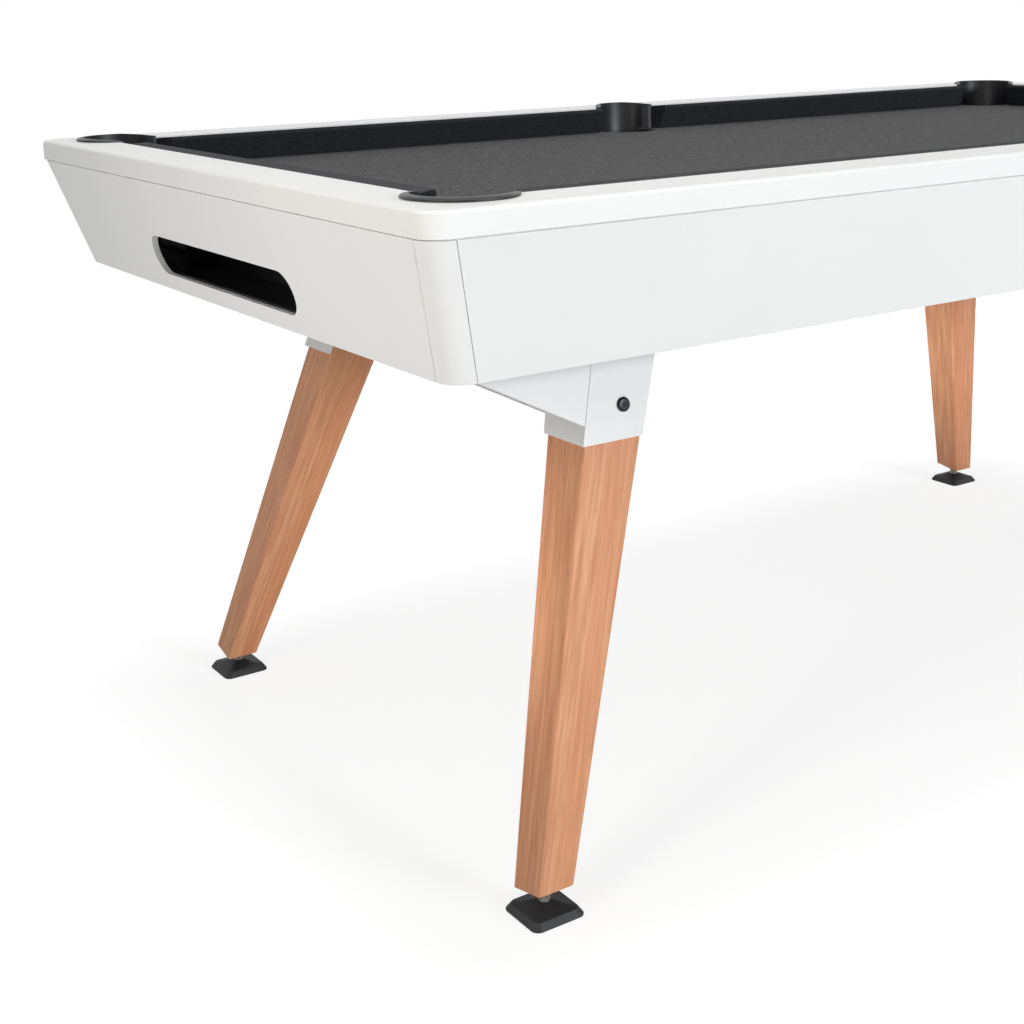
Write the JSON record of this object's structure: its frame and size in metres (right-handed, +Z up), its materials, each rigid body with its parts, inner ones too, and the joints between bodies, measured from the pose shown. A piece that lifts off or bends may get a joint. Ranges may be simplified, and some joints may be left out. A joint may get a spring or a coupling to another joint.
{
  "type": "outdoor pool table",
  "caption": "Outdoor pool table with white leaning aprons, grey cloth, lined pockets, ball return slot and splayed wooden legs on levelling feet.",
  "frame": {"origin": "on the floor under the centre of the table", "axes": "+X along the table away from the ball-return end, +Y across it to the left, +Z up"},
  "size_m": [2.04, 1.146, 0.8385],
  "materials": {
    "white_paint": "satin white powder coat",
    "slate": "sawn",
    "grey_cloth": "woven dark grey outdoor cloth",
    "cushion_rubber": "covered with dark grey outdoor cloth",
    "black_plastic": "satin black",
    "bearer_metal": "mill finish",
    "oiled_wood": "oiled hardwood",
    "black_steel": "blackened steel",
    "zinc_steel": "bright zinc",
    "black_rubber": "matt black"
  },
  "bodies": {
    "table": {"rail_frame": "white_paint", "bed_slab": "slate", "bed_cloth": "grey_cloth", "cushion_left_return": "cushion_rubber", "cushion_left_head": "cushion_rubber", "cushion_right_return": "cushion_rubber", "cushion_right_head": "cushion_rubber", "cushion_return_end": "cushion_rubber", "cushion_head_end": "cushion_rubber", "pocket_return_right": "black_plastic", "pocket_return_left": "black_plastic", "pocket_head_left": "black_plastic", "pocket_head_right": "black_plastic", "pocket_middle_left": "black_plastic", "pocket_middle_right": "black_plastic", "apron_left": "white_paint", "apron_right": "white_paint", "apron_return_end": "white_paint", "apron_head_end": "white_paint", "corner_return_right": "white_paint", "corner_return_left": "white_paint", "corner_head_left": "white_paint", "corner_head_right": "white_paint", "bearer_left": "bearer_metal", "bearer_right": "bearer_metal", "bearer_return_end": "bearer_metal", "bearer_head_end": "bearer_metal", "bearer_middle": "bearer_metal", "gutter_left": "bearer_metal", "gutter_right": "bearer_metal", "ball_tray": "black_plastic", "bracket_return_right": "white_paint", "bracket_return_left": "white_paint", "bracket_head_left": "white_paint", "bracket_head_right": "white_paint", "wedge_return_right": "white_paint", "wedge_return_left": "white_paint", "wedge_head_left": "white_paint", "wedge_head_right": "white_paint", "leg_return_right": "oiled_wood", "leg_return_left": "oiled_wood", "leg_head_left": "oiled_wood", "leg_head_right": "oiled_wood", "bolt_return_right": "black_steel", "bolt_return_left": "black_steel", "bolt_head_left": "black_steel", "bolt_head_right": "black_steel", "insert_return_right": "zinc_steel", "insert_return_left": "zinc_steel", "insert_head_left": "zinc_steel", "insert_head_right": "zinc_steel"},
    "pad_body_return_right": {"pad_return_right": "black_rubber"},
    "pad_body_return_left": {"pad_return_left": "black_rubber"},
    "pad_body_head_left": {"pad_head_left": "black_rubber"},
    "pad_body_head_right": {"pad_head_right": "black_rubber"},
    "stud_body_return_right": {"stud_return_right": "zinc_steel"},
    "stud_body_return_left": {"stud_return_left": "zinc_steel"},
    "stud_body_head_left": {"stud_head_left": "zinc_steel"},
    "stud_body_head_right": {"stud_head_right": "zinc_steel"}
  },
  "joints": [
    {"name": "foot_adjust_return_right", "type": "slide", "parent": "table", "child": "pad_body_return_right", "axis": [0, 0, -1], "range_m": [0, 0.015]},
    {"name": "foot_adjust_return_left", "type": "slide", "parent": "table", "child": "pad_body_return_left", "axis": [0, 0, -1], "range_m": [0, 0.015]},
    {"name": "foot_adjust_head_left", "type": "slide", "parent": "table", "child": "pad_body_head_left", "axis": [0, 0, -1], "range_m": [0, 0.015]},
    {"name": "foot_adjust_head_right", "type": "slide", "parent": "table", "child": "pad_body_head_right", "axis": [0, 0, -1], "range_m": [0, 0.015]},
    {"name": "stud_turn_return_right", "type": "hinge", "parent": "pad_body_return_right", "child": "stud_body_return_right", "pos_m": [-0.82, -0.432, 0.02], "axis": [0, 0, -1], "range_deg": [0, 3600]},
    {"name": "stud_turn_return_left", "type": "hinge", "parent": "pad_body_return_left", "child": "stud_body_return_left", "pos_m": [-0.82, 0.432, 0.02], "axis": [0, 0, -1], "range_deg": [0, 3600]},
    {"name": "stud_turn_head_left", "type": "hinge", "parent": "pad_body_head_left", "child": "stud_body_head_left", "pos_m": [0.82, 0.432, 0.02], "axis": [0, 0, -1], "range_deg": [0, 3600]},
    {"name": "stud_turn_head_right", "type": "hinge", "parent": "pad_body_head_right", "child": "stud_body_head_right", "pos_m": [0.82, -0.432, 0.02], "axis": [0, 0, -1], "range_deg": [0, 3600]}
  ],
  "couplings": [
    {"joint": "stud_turn_return_right", "follows": "foot_adjust_return_right", "rad_per_m": 4188.8},
    {"joint": "stud_turn_return_left", "follows": "foot_adjust_return_left", "rad_per_m": 4188.8},
    {"joint": "stud_turn_head_left", "follows": "foot_adjust_head_left", "rad_per_m": 4188.8},
    {"joint": "stud_turn_head_right", "follows": "foot_adjust_head_right", "rad_per_m": 4188.8}
  ]
}
